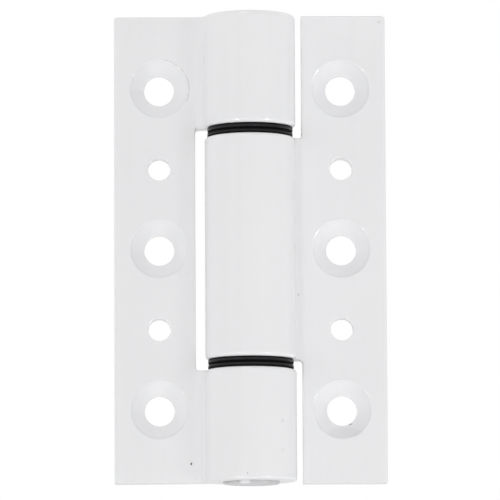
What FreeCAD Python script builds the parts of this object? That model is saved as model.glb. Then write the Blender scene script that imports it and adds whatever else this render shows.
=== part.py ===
"""Folding door hinge: two extruded leaves on one pin, with flanged bushes
between the knuckles and a plug in each end of the bore.

Millimetres. The origin is on the pin's axis, halfway up the leaves. +Z runs up
the pin, +X towards the right leaf, and -Y is the front, where the
countersinks are. The hinge is open flat.
"""

import FreeCAD, Part
import math
import os

import Sketcher

os.makedirs("parts", exist_ok=True)

doc = FreeCAD.newDocument("folding_door_hinge")
V = FreeCAD.Vector

# ---------------------------------------------------------------- dimensions
sheet = doc.addObject("Spreadsheet::Sheet", "Dims")
DIMS = [
    # leaves: one extrusion, cut to length
    ("leaf_length", 100.0, "length of the leaves along the pin"),
    ("right_over", 0.2, "how far the right leaf stands above the left one"),
    ("half_width", 29.0, "pin axis to the outer edge of a leaf"),
    ("barrel_radius", 9.7, "outside of the knuckles"),
    ("leaf_front", 0.9, "front face of a leaf, behind the pin axis"),
    ("leaf_back", 5.4, "back face of a leaf, behind the pin axis"),
    ("web_radius", 2.2, "hollow corner between a knuckle and its leaf"),
    ("edge_radius", 1.0, "long outer edges of a leaf"),
    ("bore_radius", 6.0, "bore through the knuckles"),
    ("bore_chamfer", 0.25, "mouths of the bore"),
    # knuckles
    ("outer_knuckle", 25.95, "inner end of the upper and lower knuckle, from mid-height"),
    ("centre_knuckle", 23.73, "end of the centre knuckle, from mid-height"),
    ("left_notch", 11.7, "left leaf's edge beside the centre knuckle"),
    ("right_notch", 11.0, "right leaf's edges beside the outer knuckles"),
    ("notch_root", 0.7, "corner radius at the bottom of a notch"),
    ("rim_radius", 0.8, "rounded rims of the knuckles, beside the bushes"),
    ("end_rim", 0.45, "rounded rims of the knuckles, at the ends of the barrel"),
    ("leaf_rim", 0.25, "rounded rims of the leaves"),
    ("corner_rim", 0.5, "upper outer corners of the leaves"),
    ("saw_skew", 0.38, "how far the left leaf's lower end is sawn out of square"),
    # screw holes
    ("hole_line", 19.4, "pin axis to the line of holes"),
    ("screw_pitch", 34.4, "centre screw hole to the next"),
    ("screw_dia", 6.4, "countersunk screw holes"),
    ("sink_dia", 12.5, "countersinks at the front face"),
    ("sink_angle", 90.0, "countersink angle"),
    ("small_pitch", 17.2, "centre screw hole to the small holes"),
    ("small_dia", 4.8, "small plain holes"),
    ("mouth_radius", 0.25, "softened mouths of the holes"),
    # bushes
    ("flange_radius", 9.1, "bush flange"),
    ("flange_thick", 1.085, "bush flange thickness"),
    ("flange_chamfer", 0.22, "bush flange edges"),
    ("sleeve_radius", 5.99, "bush sleeve, outside"),
    ("bush_bore", 5.03, "bush bore radius"),
    ("sleeve_length", 17.0, "sleeve below the flange"),
    ("lead_in", 0.5, "lead-in chamfers of a sleeve"),
    # pin and plugs
    ("pin_radius", 5.0, "pin"),
    ("pin_length", 88.0, "pin"),
    ("pin_chamfer", 0.8, "pin ends"),
    ("plug_radius", 5.96, "end plug"),
    ("plug_depth", 5.9, "end plug inside the bore"),
    ("plug_proud", 0.25, "end plug standing out of the knuckle"),
    ("plug_round", 0.2, "rim of the plug's head"),
]
for row, (alias, value, note) in enumerate(DIMS, 1):
    sheet.set("A%d" % row, alias)
    sheet.set("B%d" % row, repr(value))
    sheet.set("C%d" % row, note)
    sheet.setAlias("B%d" % row, alias)
doc.recompute()


def size(alias):
    return float(getattr(sheet, alias))


# ------------------------------------------------------------------- helpers
def new_body(name):
    body = doc.addObject("PartDesign::Body", name)
    body.Label = name
    return body


def plane(body, role):
    return [f for f in body.Origin.OriginFeatures if f.Role == role][0]


def new_sketch(body, name, role):
    sketch = body.newObject("Sketcher::SketchObject", name)
    sketch.AttachmentSupport = [(plane(body, role), "")]
    sketch.MapMode = "FlatFace"
    return sketch


def bind(sketch, constraint, expression):
    index = sketch.addConstraint(constraint)
    sketch.setExpression("Constraints[%d]" % index, expression)


def pin_point(sketch, geo, pos, x, y):
    """Fixes a point of the sketch at x, y, each (sign, expression) or 0."""
    point = sketch.getPoint(geo, pos)
    for kind, coord, now in (("DistanceX", x, point.x), ("DistanceY", y, point.y)):
        if coord == 0:
            axis = -2 if kind == "DistanceX" else -1
            sketch.addConstraint(Sketcher.Constraint("PointOnObject", geo, pos, axis))
            continue
        sign, expression = coord
        ends = (-1, 1, geo, pos) if sign > 0 else (geo, pos, -1, 1)
        bind(sketch, Sketcher.Constraint(kind, *ends, abs(now)), expression)


def polygon(sketch, points):
    """A closed outline of lines. Each point is (x, y, x of, y of), the last two as in pin_point."""
    n = len(points)
    first = sketch.GeometryCount
    for i in range(n):
        a, b = points[i], points[(i + 1) % n]
        sketch.addGeometry(Part.LineSegment(V(a[0], a[1], 0), V(b[0], b[1], 0)), False)
    for i in range(n):
        sketch.addConstraint(
            Sketcher.Constraint("Coincident", first + i, 2, first + (i + 1) % n, 1)
        )
    for i, p in enumerate(points):
        pin_point(sketch, first + i, 1, p[2], p[3])


def circle(sketch, x, y, radius, x_of, y_of, radius_of):
    geo = sketch.addGeometry(Part.Circle(V(x, y, 0), V(0, 0, 1), radius), False)
    pin_point(sketch, geo, 3, x_of, y_of)
    bind(sketch, Sketcher.Constraint("Radius", geo, radius), radius_of)


def both_ways(feature):
    """Makes a pad or pocket run the same way to both sides of its sketch."""
    if "SideType" in feature.PropertiesList:
        feature.SideType = "Symmetric"
    else:
        feature.Midplane = True


def pad(body, name, sketch, length, mid=False):
    feature = body.newObject("PartDesign::Pad", name)
    feature.Profile = sketch
    feature.setExpression("Length", length)
    if mid:
        both_ways(feature)
    doc.recompute()
    return feature


def cut_through(body, name, sketch):
    before = body.Shape.Volume
    feature = body.newObject("PartDesign::Pocket", name)
    feature.Profile = sketch
    feature.Type = "ThroughAll"
    both_ways(feature)
    doc.recompute()
    if not body.Shape.Volume < before - 1e-3:
        raise RuntimeError("%s of %s cut nothing" % (name, body.Label))
    return feature


def dress(body, kind, name, test, amount):
    """A fillet or chamfer on the tip's edges that pass the test."""
    tip = body.Tip
    shape = tip.Shape
    edges = ["Edge%d" % i for i, e in enumerate(shape.Edges, 1) if test(e, shape)]
    if not edges:
        raise RuntimeError("%s of %s found no edge" % (name, body.Label))
    feature = body.newObject("PartDesign::" + kind, name)
    feature.Base = (tip, edges)
    feature.setExpression("Radius" if kind == "Fillet" else "Size", amount)
    doc.recompute()
    if feature.Shape.isNull() or not feature.Shape.isValid():
        raise RuntimeError("%s of %s failed" % (name, body.Label))
    return feature


def middle(edge):
    return edge.valueAt((edge.FirstParameter + edge.LastParameter) / 2)


def near(a, b, by=1e-4):
    return abs(a - b) < by


def along(edge, axis):
    """Is the edge a straight line along this axis?"""
    if not isinstance(edge.Curve, Part.Line):
        return False
    return abs(edge.Curve.Direction.dot(axis)) > 0.99999


def faces_on(edge, shape):
    return shape.ancestorsOfType(edge, Part.Face)


X, Y, Z = V(1, 0, 0), V(0, 1, 0), V(0, 0, 1)


# -------------------------------------------------------------------- leaves
def leaf(name, side):
    """A leaf with its knuckles. side is -1 for the left leaf and +1 for the right one."""
    body = new_body(name + "_blank")
    radius, front, back = size("barrel_radius"), size("leaf_front"), size("leaf_back")
    half, line = size("half_width"), size("hole_line")

    # the extruded section: a round barrel with a flat leaf behind its middle
    section = new_sketch(body, "section", "XY_Plane")
    at_front, at_back = math.asin(front / radius), math.asin(back / radius)
    if side < 0:
        begin, end = math.pi - at_front, 3 * math.pi - at_back
        first_y, last_y = front, back
    else:
        begin, end = at_back, 2 * math.pi + at_front
        first_y, last_y = back, front
    barrel = Part.ArcOfCircle(Part.Circle(V(0, 0, 0), Z, radius), begin, end)
    section.addGeometry(barrel, False)
    a, b = barrel.StartPoint, barrel.EndPoint
    corner_a, corner_b = V(side * half, first_y, 0), V(side * half, last_y, 0)
    section.addGeometry(Part.LineSegment(b, corner_b), False)
    section.addGeometry(Part.LineSegment(corner_b, corner_a), False)
    section.addGeometry(Part.LineSegment(corner_a, a), False)
    for one, other in (((0, 2), (1, 1)), ((1, 2), (2, 1)), ((2, 2), (3, 1)), ((3, 2), (0, 1))):
        section.addConstraint(Sketcher.Constraint("Coincident", *one, *other))
    section.addConstraint(Sketcher.Constraint("Coincident", 0, 3, -1, 1))
    section.addConstraint(Sketcher.Constraint("Horizontal", 1))
    section.addConstraint(Sketcher.Constraint("Vertical", 2))
    section.addConstraint(Sketcher.Constraint("Horizontal", 3))
    bind(section, Sketcher.Constraint("Radius", 0, radius), "Dims.barrel_radius")
    of_y = {front: "Dims.leaf_front", back: "Dims.leaf_back"}
    bind(section, Sketcher.Constraint("DistanceY", -1, 1, 1, 2, last_y), of_y[last_y])
    bind(section, Sketcher.Constraint("DistanceY", -1, 1, 2, 2, first_y), of_y[first_y])
    ends = (1, 2, -1, 1) if side < 0 else (-1, 1, 1, 2)
    bind(section, Sketcher.Constraint("DistanceX", *ends, half), "Dims.half_width")
    length = "Dims.leaf_length"
    if side > 0:
        section.setExpression("AttachmentOffset.Base.z", "Dims.right_over / 2")
        length += " + Dims.right_over"
    doc.recompute()
    pad(body, "extrusion", section, length, mid=True)

    # hollow corners where the leaf runs into the barrel, and the long outer edges
    dress(
        body,
        "Fillet",
        "web",
        lambda e, s: along(e, Z) and abs(middle(e).x) < radius,
        "Dims.web_radius",
    )
    dress(
        body,
        "Fillet",
        "long_edges",
        lambda e, s: along(e, Z) and near(abs(middle(e).x), half),
        "Dims.edge_radius",
    )

    # notches for the other leaf's knuckles
    clear = radius + 4
    long_of = "Dims.barrel_radius + 4"
    notch = new_sketch(body, "notch", "XZ_Plane")
    if side < 0:
        edge, top = size("left_notch"), size("outer_knuckle")
        ex, ez = "Dims.left_notch", "Dims.outer_knuckle"
        polygon(
            notch,
            [
                (-edge, -top, (-1, ex), (-1, ez)),
                (clear, -top, (1, long_of), (-1, ez)),
                (clear, top, (1, long_of), (1, ez)),
                (-edge, top, (-1, ex), (1, ez)),
            ],
        )
        cuts = [(-edge, top), (-edge, -top)]
    else:
        edge, low = size("right_notch"), size("centre_knuckle")
        ex, ez = "Dims.right_notch", "Dims.centre_knuckle"
        high, eh = size("leaf_length") / 2 + 2, "Dims.leaf_length / 2 + 2"
        for s in (1, -1):
            polygon(
                notch,
                [
                    (edge, s * low, (1, ex), (s, ez)),
                    (edge, s * high, (1, ex), (s, eh)),
                    (-clear, s * high, (-1, long_of), (s, eh)),
                    (-clear, s * low, (-1, long_of), (s, ez)),
                ],
            )
        cuts = [(edge, low), (edge, -low)]
    doc.recompute()
    cut_through(body, "notches", notch)
    dress(
        body,
        "Fillet",
        "notch_roots",
        lambda e, s: along(e, Y)
        and any(near(middle(e).x, x) and near(middle(e).z, z) for x, z in cuts),
        "Dims.notch_root",
    )

    # the lower end of the left leaf is sawn a little out of square
    if side < 0:
        saw = new_sketch(body, "saw", "XZ_Plane")
        low, skew = size("leaf_length") / 2, size("saw_skew")
        out, e_out = half + 1, "Dims.half_width + 1"
        far, e_far = radius + 1, "Dims.barrel_radius + 1"
        e_low, e_under = "Dims.leaf_length / 2", "Dims.leaf_length / 2 + 3"
        polygon(
            saw,
            [
                (-out, -low, (-1, e_out), (-1, e_low)),
                (-out, -low - 3, (-1, e_out), (-1, e_under)),
                (far, -low - 3, (1, e_far), (-1, e_under)),
                (far, -low + skew, (1, e_far), (-1, e_low + " - Dims.saw_skew")),
            ],
        )
        doc.recompute()
        cut_through(body, "saw_cut", saw)

    # rounded rims where the notches and the sawn ends meet the extruded faces:
    # wide round the knuckles, less at the ends of the barrel and the upper outer
    # corners, narrowing to the leaf
    def cut_face(face):
        """Was this face left by a notch or a saw, and not by the extrusion?"""
        if isinstance(face.Surface, Part.Plane):
            n = face.Surface.Axis
            if abs(n.z) > 0.99:
                return True
            return abs(n.x) > 0.99 and not near(abs(face.CenterOfMass.x), half)
        if isinstance(face.Surface, Part.Cylinder):
            return abs(face.Surface.Axis.y) > 0.99
        return False

    def rim_at(point):
        if math.hypot(point.x, point.y) < radius + 1e-3:
            at_end = abs(point.z) > size("leaf_length") / 2 - 1
            return size("end_rim") if at_end else size("rim_radius")
        if point.z > 0 and near(abs(point.x), half):
            return size("corner_rim")
        return size("leaf_rim")

    blank = body.Shape
    edges = []
    for i, e in enumerate(blank.Edges, 1):
        faces = faces_on(e, blank)
        if len(faces) == 2 and sum(cut_face(f) for f in faces) == 1:
            first, last = e.valueAt(e.FirstParameter), e.valueAt(e.LastParameter)
            edges.append((i, rim_at(first), rim_at(last)))
    rims = doc.addObject("Part::Fillet", name + "_rims")
    rims.Label = name + "_rims"
    rims.Base = body
    rims.Edges = edges
    doc.recompute()
    if rims.Shape.isNull() or not rims.Shape.isValid():
        raise RuntimeError("the rims of %s failed" % name)

    # the rounded blank is then bored and drilled
    body = new_body(name)
    body.BaseFeature = rims
    doc.recompute()

    # the bore for the bushes
    bore = new_sketch(body, "bore", "XY_Plane")
    circle(bore, 0, 0, size("bore_radius"), 0, 0, "Dims.bore_radius")
    doc.recompute()
    cut_through(body, "bore_cut", bore)
    dress(
        body,
        "Chamfer",
        "bore_mouths",
        lambda e, s: isinstance(e.Curve, Part.Circle)
        and near(e.Curve.Radius, size("bore_radius"))
        and abs(e.Curve.Axis.z) > 0.999,
        "Dims.bore_chamfer",
    )

    # countersunk screw holes and the small plain holes, drilled from the front
    def holes(name, spots, pitch, diameter, sunk):
        sketch = new_sketch(body, name, "XZ_Plane")
        sketch.setExpression("AttachmentOffset.Base.z", "-Dims.leaf_front")
        doc.recompute()
        for s in spots:
            circle(
                sketch,
                side * line,
                s * size(pitch),
                size(diameter) / 2,
                (side, "Dims.hole_line"),
                (s, "Dims." + pitch) if s else 0,
                "Dims.%s / 2" % diameter,
            )
        doc.recompute()
        before = body.Shape.Volume
        hole = body.newObject("PartDesign::Hole", name + "_drilled")
        hole.Profile = sketch
        doc.recompute()
        hole.Threaded = False
        hole.ThreadType = "None"
        hole.DepthType = "ThroughAll"
        hole.setExpression("Diameter", "Dims." + diameter)
        if sunk:
            hole.HoleCutType = "Countersink"
            hole.HoleCutCustomValues = True
            hole.setExpression("HoleCutDiameter", "Dims.sink_dia")
            hole.setExpression("HoleCutCountersinkAngle", "Dims.sink_angle")
        doc.recompute()
        thick, r = back - front, size(diameter) / 2
        want = math.pi * r * r * thick
        if sunk:
            big = size("sink_dia") / 2
            deep = (big - r) / math.tan(math.radians(size("sink_angle") / 2))
            want += math.pi * deep / 3 * (big * big + big * r - 2 * r * r)
        got = (before - body.Shape.Volume) / len(spots)
        if abs(got - want) > 0.02 * want:
            raise RuntimeError("%s of %s took out %.2f, not %.2f" % (name, body.Label, got, want))

    holes("screw_holes", (0, 1, -1), "screw_pitch", "screw_dia", True)
    holes("small_holes", (1, -1), "small_pitch", "small_dia", False)
    dress(
        body,
        "Fillet",
        "hole_mouths",
        lambda e, s: isinstance(e.Curve, Part.Circle)
        and abs(e.Curve.Axis.y) > 0.999
        and (near(middle(e).y, front) or near(middle(e).y, back))
        and any(
            near(e.Curve.Radius, size(d) / 2) for d in ("screw_dia", "sink_dia", "small_dia")
        ),
        "Dims.mouth_radius",
    )
    return body


left_leaf = leaf("left_leaf", -1)
right_leaf = leaf("right_leaf", 1)


# -------------------------------------------------------------------- bushes
def bush(name, height, up):
    """A flanged bush. Its own frame has the flange's seat at z = 0, the flange
    above and the sleeve below. up is False for a bush that is turned over."""
    body = new_body(name)
    profile = new_sketch(body, "profile", "XZ_Plane")
    flange, thick, chamfer = size("flange_radius"), size("flange_thick"), size("flange_chamfer")
    outer, inner = size("sleeve_radius"), size("bush_bore")
    deep, lead = size("sleeve_length"), size("lead_in")
    e_in, e_out, e_fl = (1, "Dims.bush_bore"), (1, "Dims.sleeve_radius"), (1, "Dims.flange_radius")
    e_top, e_low = (1, "Dims.flange_thick"), (-1, "Dims.sleeve_length")
    e_in_lead = (1, "Dims.bush_bore + Dims.lead_in / 2")
    e_out_lead = (1, "Dims.sleeve_radius - Dims.lead_in / 2")
    e_fl_in = (1, "Dims.flange_radius - Dims.flange_chamfer")
    polygon(
        profile,
        [
            (outer, 0, e_out, 0),
            (flange - chamfer, 0, e_fl_in, 0),
            (flange, chamfer, e_fl, (1, "Dims.flange_chamfer")),
            (flange, thick - chamfer, e_fl, (1, "Dims.flange_thick - Dims.flange_chamfer")),
            (flange - chamfer, thick, e_fl_in, e_top),
            (inner + lead / 2, thick, e_in_lead, e_top),
            (inner, thick - lead / 2, e_in, (1, "Dims.flange_thick - Dims.lead_in / 2")),
            (inner, -deep, e_in, e_low),
            (outer - lead / 2, -deep, e_out_lead, e_low),
            (outer, -deep + lead, e_out, (-1, "Dims.sleeve_length - Dims.lead_in")),
        ],
    )
    doc.recompute()
    turned = body.newObject("PartDesign::Revolution", "turned")
    turned.Profile = profile
    turned.ReferenceAxis = (profile, ["V_Axis"])
    turned.Angle = 360
    doc.recompute()
    if not up:
        body.Placement = FreeCAD.Placement(V(0, 0, 0), FreeCAD.Rotation(X, 180))
    body.setExpression("Placement.Base.z", height)
    doc.recompute()
    return body


upper_knuckle_bush = bush("upper_knuckle_bush", "Dims.outer_knuckle", False)
centre_upper_bush = bush("centre_upper_bush", "Dims.centre_knuckle", True)
centre_lower_bush = bush("centre_lower_bush", "-Dims.centre_knuckle", False)
lower_knuckle_bush = bush("lower_knuckle_bush", "-Dims.outer_knuckle", True)

# ----------------------------------------------------------------------- pin
hinge_pin = new_body("hinge_pin")
ground = new_sketch(hinge_pin, "round", "XY_Plane")
circle(ground, 0, 0, size("pin_radius"), 0, 0, "Dims.pin_radius")
doc.recompute()
pad(hinge_pin, "bar", ground, "Dims.pin_length", mid=True)
dress(
    hinge_pin,
    "Chamfer",
    "pin_ends",
    lambda e, s: isinstance(e.Curve, Part.Circle),
    "Dims.pin_chamfer",
)


# --------------------------------------------------------------------- plugs
def plug(name, up):
    """An end plug. Its own frame has the knuckle's end at z = 0 and the head above."""
    body = new_body(name)
    profile = new_sketch(body, "profile", "XZ_Plane")
    r, deep, proud = size("plug_radius"), size("plug_depth"), size("plug_proud")
    lead = size("lead_in")
    e_r, e_low, e_top = (1, "Dims.plug_radius"), (-1, "Dims.plug_depth"), (1, "Dims.plug_proud")
    polygon(
        profile,
        [
            (0, -deep, 0, e_low),
            (r - lead, -deep, (1, "Dims.plug_radius - Dims.lead_in"), e_low),
            (r, -deep + lead, e_r, (-1, "Dims.plug_depth - Dims.lead_in")),
            (r, proud, e_r, e_top),
            (0, proud, 0, e_top),
        ],
    )
    doc.recompute()
    turned = body.newObject("PartDesign::Revolution", "turned")
    turned.Profile = profile
    turned.ReferenceAxis = (profile, ["V_Axis"])
    turned.Angle = 360
    doc.recompute()
    dress(
        body,
        "Fillet",
        "head_rim",
        lambda e, s: isinstance(e.Curve, Part.Circle) and near(middle(e).z, proud),
        "Dims.plug_round",
    )
    if not up:
        body.Placement = FreeCAD.Placement(V(0, 0, 0), FreeCAD.Rotation(X, 180))
    sign = "" if up else "-"
    body.setExpression("Placement.Base.z", sign + "Dims.leaf_length / 2")
    doc.recompute()
    return body


top_end_plug = plug("top_end_plug", True)
bottom_end_plug = plug("bottom_end_plug", False)

# -------------------------------------------------------------------- export
PIECES = [
    left_leaf,
    right_leaf,
    hinge_pin,
    upper_knuckle_bush,
    centre_upper_bush,
    centre_lower_bush,
    lower_knuckle_bush,
    top_end_plug,
    bottom_end_plug,
]
doc.recompute()
for thing in doc.Objects:
    if "Invalid" in thing.State or "Error" in thing.State:
        raise RuntimeError("%s did not build: %s" % (thing.Label, thing.State))
for piece in PIECES:
    shape = piece.Shape
    if shape.isNull() or not shape.isValid() or len(shape.Solids) != 1:
        raise RuntimeError("%s is not one valid solid" % piece.Label)
    box = shape.BoundBox
    print(
        "%-20s %9.2f mm3  x %7.2f %7.2f  y %6.2f %6.2f  z %7.2f %7.2f"
        % (piece.Label, shape.Volume, box.XMin, box.XMax, box.YMin, box.YMax, box.ZMin, box.ZMax)
    )
for piece in PIECES:
    piece.Shape.exportStep("parts/%s.step" % piece.Label)
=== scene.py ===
"""Folding door hinge: finishes, studio light and camera around the CAD frame.

Metres, in the CAD frame: Z up the pin, +X to the right leaf, -Y to the front.
"""

import math

import bpy
from mathutils import Matrix, Vector

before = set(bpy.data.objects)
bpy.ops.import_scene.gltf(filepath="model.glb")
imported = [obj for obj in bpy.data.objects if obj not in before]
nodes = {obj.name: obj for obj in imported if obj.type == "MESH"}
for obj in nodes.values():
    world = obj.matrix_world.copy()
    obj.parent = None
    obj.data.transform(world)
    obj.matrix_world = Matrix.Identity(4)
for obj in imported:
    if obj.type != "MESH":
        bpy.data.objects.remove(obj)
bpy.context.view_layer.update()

scene = bpy.context.scene
MM = 0.001

# leaf layout, from the CAD
HOLE_LINE = 19.4 * MM
SCREW_PITCH = 34.4 * MM
SINK_RADIUS = 6.25 * MM
LEAF_FRONT = 0.9 * MM


# ------------------------------------------------------------ node tree helpers
class Tree:
    """A material's node tree, built with short calls."""

    def __init__(self, name):
        self.material = bpy.data.materials.new(name)
        self.material.use_nodes = True
        self.tree = self.material.node_tree
        self.tree.nodes.clear()
        self.out = self.node("ShaderNodeOutputMaterial")
        self.shader = self.node("ShaderNodeBsdfPrincipled")
        self.link(self.shader.outputs[0], self.out.inputs[0])
        self.place = self.node("ShaderNodeTexCoord").outputs["Object"]

    def node(self, kind, **values):
        n = self.tree.nodes.new(kind)
        for k, v in values.items():
            setattr(n, k, v)
        return n

    def link(self, a, b):
        self.tree.links.new(a, b)

    def put(self, socket, value):
        if isinstance(value, bpy.types.NodeSocket):
            self.link(value, socket)
        else:
            socket.default_value = value

    def math(self, operation, a, b=0.0, c=0.0, clamp=False):
        n = self.node("ShaderNodeMath", operation=operation, use_clamp=clamp)
        for socket, value in zip(n.inputs, (a, b, c)):
            self.put(socket, value)
        return n.outputs[0]

    def vector(self, operation, a, b=(0, 0, 0)):
        n = self.node("ShaderNodeVectorMath", operation=operation)
        self.put(n.inputs[0], a)
        self.put(n.inputs[1], b)
        return n.outputs["Value" if operation in ("LENGTH", "DISTANCE", "DOT_PRODUCT") else "Vector"]

    def noise(self, scale, detail=2.0, rough=0.5, at=None, stretch=None):
        at = at or self.place
        if stretch:
            at = self.vector("MULTIPLY", at, stretch)
        n = self.node("ShaderNodeTexNoise")
        self.put(n.inputs["Vector"], at)
        n.inputs["Scale"].default_value = scale
        n.inputs["Detail"].default_value = detail
        n.inputs["Roughness"].default_value = rough
        return n.outputs["Fac"]

    def ramp(self, value, low, high, to_low=0.0, to_high=1.0, smooth=True):
        n = self.node("ShaderNodeMapRange")
        n.interpolation_type = "SMOOTHSTEP" if smooth else "LINEAR"
        for socket, v in zip(n.inputs, (value, low, high, to_low, to_high)):
            self.put(socket, v)
        return n.outputs[0]

    def mix(self, fac, a, b):
        n = self.node("ShaderNodeMix", data_type="RGBA")
        self.put(n.inputs["Factor"], fac)
        self.put(n.inputs[6], a)
        self.put(n.inputs[7], b)
        return n.outputs[2]

    def bump(self, height, distance, strength=1.0, below=None):
        n = self.node("ShaderNodeBump")
        n.inputs["Strength"].default_value = strength
        n.inputs["Distance"].default_value = distance
        self.put(n.inputs["Height"], height)
        if below is not None:
            self.put(n.inputs["Normal"], below)
        return n.outputs[0]


def rgb(r, g, b):
    return (r, g, b, 1.0)


# ------------------------------------------------------------------ finishes
def powder_coat(name, side, marks, scratch=None):
    """Semi-gloss white powder coat on a sawn and drilled extrusion.

    marks: (x, z, half width, half height, strength, tone), the first four in mm, seen from the front.
    scratch: (x, z, radius, first angle, last angle) of a fine arc, in mm and degrees.
    """
    t = Tree(name)
    split = t.node("ShaderNodeSeparateXYZ")
    t.link(t.place, split.inputs[0])
    x, y, z = split.outputs

    # colour: slow drift of the coat, fine mottle, faint lines of the extrusion
    drift = t.noise(45.0, 2.0)
    mottle = t.noise(420.0, 3.0, 0.6)
    lines = t.noise(1.0, 3.0, 0.6, stretch=(900.0, 900.0, 9.0))
    tone = t.math("ADD", t.math("MULTIPLY", drift, 0.45), t.math("MULTIPLY", mottle, 0.25))
    tone = t.math("ADD", tone, t.math("MULTIPLY", lines, 0.30))
    tone = t.ramp(tone, 0.30, 0.70)
    colour = t.mix(tone, rgb(0.868, 0.868, 0.880), rgb(0.890, 0.890, 0.901))

    # tool rings in the countersinks, drilled in one line
    wrapped = t.node("ShaderNodeMath", operation="WRAP")
    t.put(wrapped.inputs[0], z)
    wrapped.inputs[1].default_value = SCREW_PITCH / 2
    wrapped.inputs[2].default_value = -SCREW_PITCH / 2
    dx = t.math("SUBTRACT", x, side * HOLE_LINE)
    far = t.math("SQRT", t.math("ADD", t.math("MULTIPLY", dx, dx), t.math("MULTIPLY", wrapped.outputs[0], wrapped.outputs[0])))
    sunk = t.math("MULTIPLY", t.ramp(far, SINK_RADIUS - 0.05 * MM, SINK_RADIUS - 0.25 * MM), t.ramp(y, LEAF_FRONT + 0.06 * MM, LEAF_FRONT + 0.2 * MM))
    sunk = t.math("MULTIPLY", sunk, t.ramp(y, 4.1 * MM, 3.9 * MM))
    wobble = t.math("MULTIPLY", t.noise(160.0, 1.0), 0.25 * MM)
    ring = t.math("SINE", t.math("MULTIPLY", t.math("ADD", far, wobble), 2 * math.pi / (0.62 * MM)))
    ring = t.math("MULTIPLY", ring, sunk)
    colour = t.mix(t.math("MULTIPLY", t.ramp(ring, 0.2, 1.0), 0.025), colour, rgb(0.55, 0.55, 0.57))
    # painted shade: a thin dark line just inside each countersink's rim, stronger towards the bottom of each
    # countersink
    line = t.math("MULTIPLY", t.ramp(far, SINK_RADIUS - 0.62 * MM, SINK_RADIUS - 0.40 * MM), t.ramp(far, SINK_RADIUS - 0.02 * MM, SINK_RADIUS - 0.20 * MM))
    line = t.math("MULTIPLY", line, t.ramp(y, LEAF_FRONT + 0.02 * MM, LEAF_FRONT + 0.12 * MM))
    line = t.math("MULTIPLY", line, t.ramp(y, 2.6 * MM, 2.0 * MM))
    line = t.math("MULTIPLY", line, t.ramp(t.noise(300.0, 2.0), 0.3, 0.7, 0.5, 1.0))
    line = t.math("MULTIPLY", line, t.ramp(wrapped.outputs[0], -SINK_RADIUS, SINK_RADIUS, 1.0, 0.55, False))
    colour = t.mix(t.math("MULTIPLY", line, 0.12), colour, rgb(0.45, 0.45, 0.46))

    # painted shade: darker, greyer colour on the sawn ends; the left leaf's lower one is out of square
    if side < 0:
        above = t.math("SUBTRACT", 50.0 * MM, z)
        below = t.math("ADD", t.math("SUBTRACT", z, t.math("MULTIPLY", x, 0.00934)), 49.72 * MM)
    else:
        above = t.math("SUBTRACT", 50.2 * MM, z)
        below = t.math("ADD", z, 50.0 * MM)
    sawn_end_shade = t.ramp(t.math("MINIMUM", above, below), 0.20 * MM, 0.05 * MM)
    colour = t.mix(t.math("MULTIPLY", sawn_end_shade, 0.35), colour, rgb(0.45, 0.45, 0.46))

    # small marks in the paint; the bright nibs on the countersink rims among them are painted highlights
    for mx, mz, half_w, half_h, strength, shade in marks:
        spot = t.vector("SUBTRACT", t.place, (mx * MM, 0.0, mz * MM))
        spot = t.vector("MULTIPLY", spot, (1 / (half_w * MM), 0.0, 1 / (half_h * MM)))
        reach = t.vector("LENGTH", spot)
        ragged = t.math("ADD", reach, t.math("MULTIPLY", t.math("SUBTRACT", t.noise(2600.0, 2.0), 0.5), 0.9))
        inside = t.math("MULTIPLY", t.ramp(ragged, 1.15, 0.75), t.ramp(y, 4.6 * MM, 4.1 * MM))
        colour = t.mix(t.math("MULTIPLY", inside, strength), colour, rgb(shade, shade, shade))
    if scratch:
        sx, sz, radius, first, last = scratch
        off_x, off_z = t.math("SUBTRACT", x, sx * MM), t.math("SUBTRACT", z, sz * MM)
        out = t.math("SQRT", t.math("ADD", t.math("MULTIPLY", off_x, off_x), t.math("MULTIPLY", off_z, off_z)))
        turn_at = t.math("ARCTAN2", off_z, off_x)
        thin = t.math("ABSOLUTE", t.math("SUBTRACT", out, radius * MM))
        arc = t.math("MULTIPLY", t.ramp(thin, 0.13 * MM, 0.04 * MM), t.ramp(turn_at, math.radians(first), math.radians(first + 8)))
        arc = t.math("MULTIPLY", arc, t.ramp(turn_at, math.radians(last), math.radians(last - 8)))
        arc = t.math("MULTIPLY", arc, t.ramp(t.noise(900.0, 2.0), 0.35, 0.6, 0.25, 1.0))
        arc = t.math("MULTIPLY", arc, t.ramp(y, 4.6 * MM, 4.1 * MM))
        colour = t.mix(t.math("MULTIPLY", arc, 0.40), colour, rgb(0.30, 0.30, 0.31))
    t.put(t.shader.inputs["Base Color"], colour)

    # gloss: a little uneven, and dull on the sawn ends
    gloss = t.ramp(t.noise(230.0, 3.0), 0.3, 0.7, 0.10, 0.15)
    t.put(t.shader.inputs["Roughness"], t.math("ADD", gloss, t.math("MULTIPLY", sawn_end_shade, 0.40)))
    t.shader.inputs["IOR"].default_value = 1.5

    # relief: orange peel, the extrusion's lines and the tool rings under the paint
    relief = t.bump(t.noise(700.0, 1.5, 0.45), 0.006 * MM, 0.6)
    relief = t.bump(lines, 0.004 * MM, 0.5, relief)
    relief = t.bump(ring, 0.005 * MM, 0.7, relief)
    t.put(t.shader.inputs["Normal"], relief)
    return t.material


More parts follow.
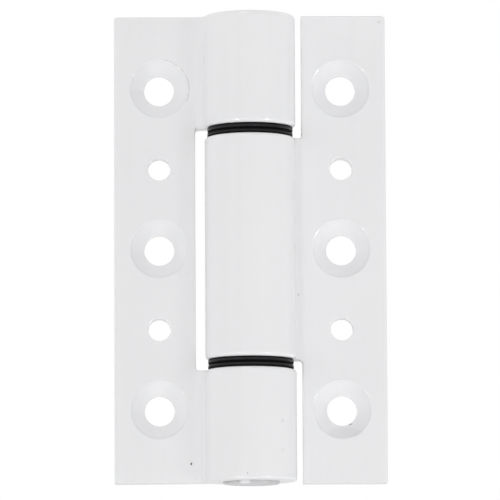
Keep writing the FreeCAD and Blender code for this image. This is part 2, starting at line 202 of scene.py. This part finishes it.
def moulded(name, low, high, rough, specular, grain, band=None, pale_patch=None):
    """Plain moulded plastic: two close tones, uneven gloss and a fine spark-eroded grain.

    band: (middle, half height), in mm up the pin, of the band round a bush's flange that keeps the plastic's own
    colour; the rest is rough and near black, painted shade for the grooves and the gaps beside the flange.
    pale_patch: (x, y, half width, half depth) of a pale, near-white patch, in mm.
    """
    t = Tree(name)
    tone = t.ramp(t.noise(600.0, 3.0, 0.6), 0.3, 0.7)
    colour = t.mix(tone, low, high)
    gloss = t.ramp(t.noise(900.0, 2.0), 0.3, 0.7, rough - 0.05, rough + 0.05)
    if band:
        split = t.node("ShaderNodeSeparateXYZ")
        t.link(t.place, split.inputs[0])
        off = t.math("ABSOLUTE", t.math("SUBTRACT", split.outputs["Z"], band[0] * MM))
        # painted shade: near black and rough outside the band, where the grooves and gaps fall in shade
        shade_free_band = t.ramp(off, (band[1] + 0.08) * MM, (band[1] - 0.08) * MM)
        colour = t.mix(shade_free_band, rgb(0.0004, 0.0004, 0.0005), colour)
        gloss = t.math("ADD", t.math("MULTIPLY", t.math("SUBTRACT", gloss, 0.70), shade_free_band), 0.70)
    if pale_patch:
        spot = t.vector("SUBTRACT", t.place, (pale_patch[0] * MM, pale_patch[1] * MM, 0.0))
        spot = t.vector("MULTIPLY", spot, (1 / (pale_patch[2] * MM), 1 / (pale_patch[3] * MM), 0.0))
        ragged = t.math("ADD", t.vector("LENGTH", spot), t.math("MULTIPLY", t.math("SUBTRACT", t.noise(700.0, 2.0), 0.5), 0.8))
        colour = t.mix(t.math("MULTIPLY", t.ramp(ragged, 1.3, 0.5), 0.75), colour, rgb(0.87, 0.87, 0.88))
    t.put(t.shader.inputs["Base Color"], colour)
    t.put(t.shader.inputs["Roughness"], gloss)
    t.shader.inputs["IOR"].default_value = 1.48
    t.shader.inputs["Specular IOR Level"].default_value = specular
    relief = t.bump(t.noise(3200.0, 2.0), grain * MM, 0.6)
    t.put(t.shader.inputs["Normal"], relief)
    return t.material


def ground_steel(name):
    """Centreless-ground pin: fine rings round the axis."""
    t = Tree(name)
    rings = t.noise(1.0, 3.0, 0.6, stretch=(60.0, 60.0, 4200.0))
    t.put(t.shader.inputs["Base Color"], t.mix(t.ramp(rings, 0.3, 0.7), rgb(0.50, 0.51, 0.52), rgb(0.60, 0.61, 0.62)))
    t.shader.inputs["Metallic"].default_value = 1.0
    t.put(t.shader.inputs["Roughness"], t.ramp(rings, 0.3, 0.7, 0.22, 0.34))
    t.put(t.shader.inputs["Normal"], t.bump(rings, 0.003 * MM, 0.5))
    return t.material


LEFT_MARKS = [
    # chip beside the lower knuckle, speck above its rim, and two smudges on it
    (-12.73, -45.85, 0.18, 0.31, 0.95, 0.05),
    (-0.97, -48.6, 0.12, 0.22, 0.55, 0.30),
    (6.48, -37.35, 0.42, 0.42, 0.11, 0.30),
    (6.67, -43.46, 0.36, 0.36, 0.09, 0.30),
    # two short strokes beside the top countersink
    (-13.62, 32.05, 0.09, 0.26, 0.30, 0.30),
    (-13.30, 31.95, 0.08, 0.22, 0.25, 0.30),
    # painted highlights: small bright spots on the rims of the top and bottom countersinks, where the low left lamp
    # glints
    (-15.06, 38.90, 0.22, 0.22, 0.90, 0.97),
    (-14.34, -30.73, 0.24, 0.22, 0.90, 0.97),
]
RIGHT_MARKS = [
    # speck beside the centre knuckle and smudge in the upper outer corner
    (10.1, -9.9, 0.16, 0.26, 0.50, 0.30),
    (27.76, 48.87, 0.34, 0.30, 0.20, 0.30),
    # bare sliver at the edge of the lowest screw hole
    (21.12, -37.28, 0.46, 0.20, 0.50, 0.30),
    # painted highlight: a small bright spot on the rim of the middle countersink
    (24.04, 4.18, 0.22, 0.22, 0.90, 0.97),
    # darker patch in the lower side of the lowest countersink
    (19.90, -39.20, 3.60, 1.40, 0.10, 0.30),
]
FINISH = {
    "left_leaf": powder_coat("powder_coat_left", -1, LEFT_MARKS, (-19.4, 34.4, 6.45, -22.0, 88.0)),
    "right_leaf": powder_coat("powder_coat_right", 1, RIGHT_MARKS),
    "hinge_pin": ground_steel("ground_steel"),
}
# painted shade: each flange is near black outside a band round its rim, and the band is broader on the two that face
# down
BANDS = {
    "upper_knuckle_bush": (25.31, 0.25),
    "centre_upper_bush": (24.25, 0.14),
    "centre_lower_bush": (-24.28, 0.22),
    "lower_knuckle_bush": (-25.31, 0.18),
}
for n, band in BANDS.items():
    FINISH[n] = moulded("black_polymer_" + n, rgb(0.0225, 0.0225, 0.0236), rgb(0.0300, 0.0300, 0.0314), 0.22, 0.13, 0.003, band)
# the bottom plug has a pale, near-white patch across its front
for n, pale_patch in (("top_end_plug", None), ("bottom_end_plug", (-1.38, -5.2, 1.05, 3.6))):
    FINISH[n] = moulded("grey_nylon_" + n, rgb(0.51, 0.51, 0.52), rgb(0.59, 0.59, 0.60), 0.48, 0.3, 0.005, pale_patch=pale_patch)

for name, material in FINISH.items():
    slots = nodes[name].material_slots
    for s in slots:
        s.material = material

# ----------------------------------------------------------------- the studio
# white all round, brighter behind the hinge and overhead
world = bpy.data.worlds.new("studio")
scene.world = world
world.use_nodes = True
w = world.node_tree
w.nodes.clear()


def world_node(kind, **values):
    n = w.nodes.new(kind)
    for k, v in values.items():
        setattr(n, k, v)
    return n


def world_ramp(value, low, high, to_low, to_high):
    n = world_node("ShaderNodeMapRange")
    w.links.new(value, n.inputs["Value"])
    for socket, v in zip(n.inputs[1:5], (low, high, to_low, to_high)):
        socket.default_value = v
    return n


out = world_node("ShaderNodeOutputWorld")
mixer = world_node("ShaderNodeMixShader")
seen = world_node("ShaderNodeBackground")
lit = world_node("ShaderNodeBackground")
path = world_node("ShaderNodeLightPath")
coords = world_node("ShaderNodeTexCoord")
parts = world_node("ShaderNodeSeparateXYZ")
total = world_node("ShaderNodeMath", operation="ADD")
seen.inputs["Color"].default_value = (1.0, 1.0, 1.0, 1.0)
seen.inputs["Strength"].default_value = 1.0
lit.inputs["Color"].default_value = (1.0, 1.0, 1.0, 1.0)
w.links.new(coords.outputs["Generated"], parts.inputs[0])
behind = world_ramp(parts.outputs["Y"], -0.05, 0.05, 0.42, 0.80)
overhead = world_ramp(parts.outputs["Z"], 0.0, 1.0, 0.0, 0.21)
w.links.new(behind.outputs[0], total.inputs[0])
w.links.new(overhead.outputs[0], total.inputs[1])
w.links.new(total.outputs[0], lit.inputs["Strength"])
w.links.new(path.outputs["Is Camera Ray"], mixer.inputs[0])
w.links.new(lit.outputs[0], mixer.inputs[1])
w.links.new(seen.outputs[0], mixer.inputs[2])
w.links.new(mixer.outputs[0], out.inputs[0])


def soft_light(name, azimuth, elevation, distance, width, height, power, gives="all"):
    """An area light aimed at the hinge; azimuth 0 is the front, 90 the right.

    gives: "all", "fill" for diffuse light only, or "glint" for gloss only.
    """
    a, e = math.radians(azimuth), math.radians(elevation)
    way = Vector((math.sin(a) * math.cos(e), -math.cos(a) * math.cos(e), math.sin(e)))
    data = bpy.data.lights.new(name, "AREA")
    data.shape = "RECTANGLE"
    data.size, data.size_y = width, height
    data.energy = power
    lamp = bpy.data.objects.new(name, data)
    lamp.location = way * distance
    lamp.rotation_mode = "QUATERNION"
    lamp.rotation_quaternion = way.to_track_quat("Z", "Y")
    lamp.visible_camera = False
    lamp.visible_diffuse = gives != "glint"
    lamp.visible_glossy = gives != "fill"
    scene.collection.objects.link(lamp)
    return lamp


soft_light("low_front", -15, -55, 0.9, 0.315, 0.315, 1.76, "fill")
soft_light("high_front", -15, 50, 1.0, 0.35, 0.35, 1.92)
soft_light("left", -75, 20, 1.0, 0.35, 0.35, 0.87, "fill")
soft_light("right", 75, -8, 1.0, 0.35, 0.35, 1.32, "fill")
soft_light("low_back", 180, -55, 0.9, 0.315, 0.315, 0.95, "fill")
# a small lamp, low on the right, throws the barrel's soft shadow on the left leaf
soft_light("lamp_right", 47, -18, 0.9, 0.08, 0.08, 0.58)
# two sparks, low on either side, that only glint on the rims and the countersinks
soft_light("spark_right", 44, -22, 0.7, 0.04, 0.04, 2.0, "glint")
soft_light("spark_left", -34, -20, 0.7, 0.04, 0.04, 2.4, "glint")

# a plain pale floor, well below the hinge
mesh = bpy.data.meshes.new("floor")
reach, low = 30.0, -0.85
mesh.from_pydata([(-reach, -reach, low), (reach, -reach, low), (reach, reach, low), (-reach, reach, low)], [], [(0, 1, 2, 3)])
floor = bpy.data.objects.new("floor", mesh)
scene.collection.objects.link(floor)
f = Tree("pale_floor")
f.put(f.shader.inputs["Base Color"], f.mix(f.ramp(f.noise(3.0, 2.0), 0.3, 0.7), rgb(0.87, 0.87, 0.87), rgb(0.90, 0.90, 0.90)))
f.shader.inputs["Roughness"].default_value = 0.9
f.shader.inputs["Specular IOR Level"].default_value = 0.1
mesh.materials.append(f.material)

# ----------------------------------------------------------------- the camera
yaw, pitch, roll = math.radians(0.808), math.radians(6.712), math.radians(-0.257)
ahead = Vector((math.sin(yaw) * math.cos(pitch), math.cos(yaw) * math.cos(pitch), math.sin(pitch)))
level = Vector((math.cos(yaw), -math.sin(yaw), 0.0))
upright = level.cross(ahead)
right = level * math.cos(roll) + upright * math.sin(roll)
up = upright * math.cos(roll) - level * math.sin(roll)
lens = bpy.data.cameras.new("camera")
lens.sensor_width = 36.0
lens.lens = 5204.95 * 36.0 / 500.0
lens.clip_start, lens.clip_end = 0.05, 100.0
camera = bpy.data.objects.new("camera", lens)
turn = Matrix((right, up, -ahead)).transposed().to_4x4()
camera.matrix_world = Matrix.Translation(Vector((-0.015612, -1.100, -0.12979))) @ turn
scene.collection.objects.link(camera)
scene.camera = camera

scene.view_settings.view_transform = "Standard"
scene.view_settings.look = "None"
